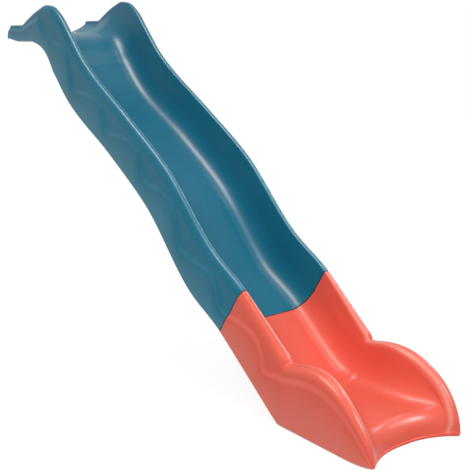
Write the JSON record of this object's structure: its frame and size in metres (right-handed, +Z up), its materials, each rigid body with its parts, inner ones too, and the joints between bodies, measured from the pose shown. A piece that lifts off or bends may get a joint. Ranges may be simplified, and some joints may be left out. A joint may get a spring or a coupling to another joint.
{
  "type": "playground slide",
  "caption": "Wavy plastic playground slide in an upper and a lower chute, with humped rails, a flat lip that fixes to a deck, and a run-out between round fenders.",
  "frame": {"origin": "middle of the footprint, on the ground", "axes": "+Z up, +X across the slide, the exit faces -Y and the deck lip lies at +Y"},
  "size_m": [0.506, 2.978, 1.692],
  "materials": {
    "blue_plastic": "moulded petrol blue polyethylene with a soft sheen",
    "red_plastic": "moulded coral red polyethylene with a soft sheen",
    "zinc_steel": "bright zinc plating"
  },
  "bodies": {
    "root": {"upper_chute": "blue_plastic", "lower_chute": "red_plastic", "seam_bolt_left_low": "zinc_steel", "seam_bolt_left_high": "zinc_steel", "seam_bolt_right_low": "zinc_steel", "seam_bolt_right_high": "zinc_steel", "seam_head_washer_left_low": "zinc_steel", "seam_head_washer_left_high": "zinc_steel", "seam_head_washer_right_low": "zinc_steel", "seam_head_washer_right_high": "zinc_steel", "seam_nut_washer_left_low": "zinc_steel", "seam_nut_washer_left_high": "zinc_steel", "seam_nut_washer_right_low": "zinc_steel", "seam_nut_washer_right_high": "zinc_steel", "seam_nut_left_low": "zinc_steel", "seam_nut_left_high": "zinc_steel", "seam_nut_right_low": "zinc_steel", "seam_nut_right_high": "zinc_steel", "lip_screw_1": "zinc_steel", "lip_screw_2": "zinc_steel", "lip_screw_3": "zinc_steel", "lip_washer_1": "zinc_steel", "lip_washer_2": "zinc_steel", "lip_washer_3": "zinc_steel"}
  },
  "joints": []
}
